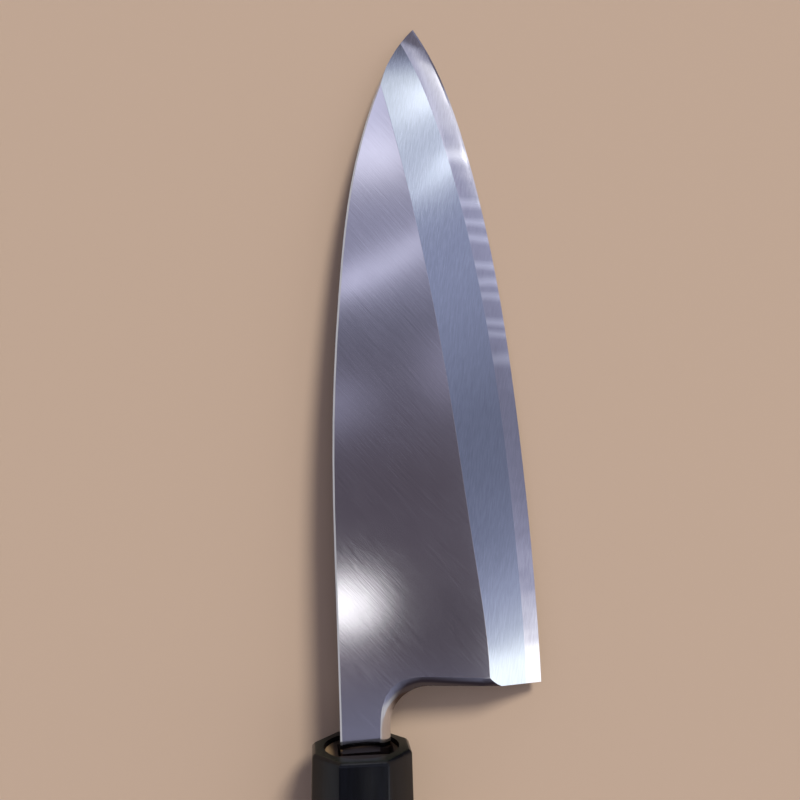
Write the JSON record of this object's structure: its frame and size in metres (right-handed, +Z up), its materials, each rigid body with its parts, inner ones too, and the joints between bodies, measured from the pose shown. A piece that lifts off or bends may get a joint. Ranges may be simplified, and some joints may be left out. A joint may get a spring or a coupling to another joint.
{
  "type": "deba knife",
  "caption": "Heavy single-bevel kitchen knife with a laminated blade, a horn ferrule and an octagonal wooden handle.",
  "frame": {"origin": "under the middle of the knife's box, on the surface it lies on", "axes": "+Z up as the knife lies with its front face up, +Y along the knife from the butt to the tip, +X towards the cutting edge"},
  "size_m": [0.064, 0.3254, 0.0331],
  "materials": {
    "soft_iron": "satin, fine diagonal grinding lines",
    "hard_steel": "finely polished",
    "horn": "buffed black horn",
    "magnolia_wood": "bare, fine sanded"
  },
  "bodies": {
    "root": {"blade_iron": "soft_iron", "edge_steel": "hard_steel", "ferrule": "horn", "handle": "magnolia_wood"}
  },
  "joints": []
}
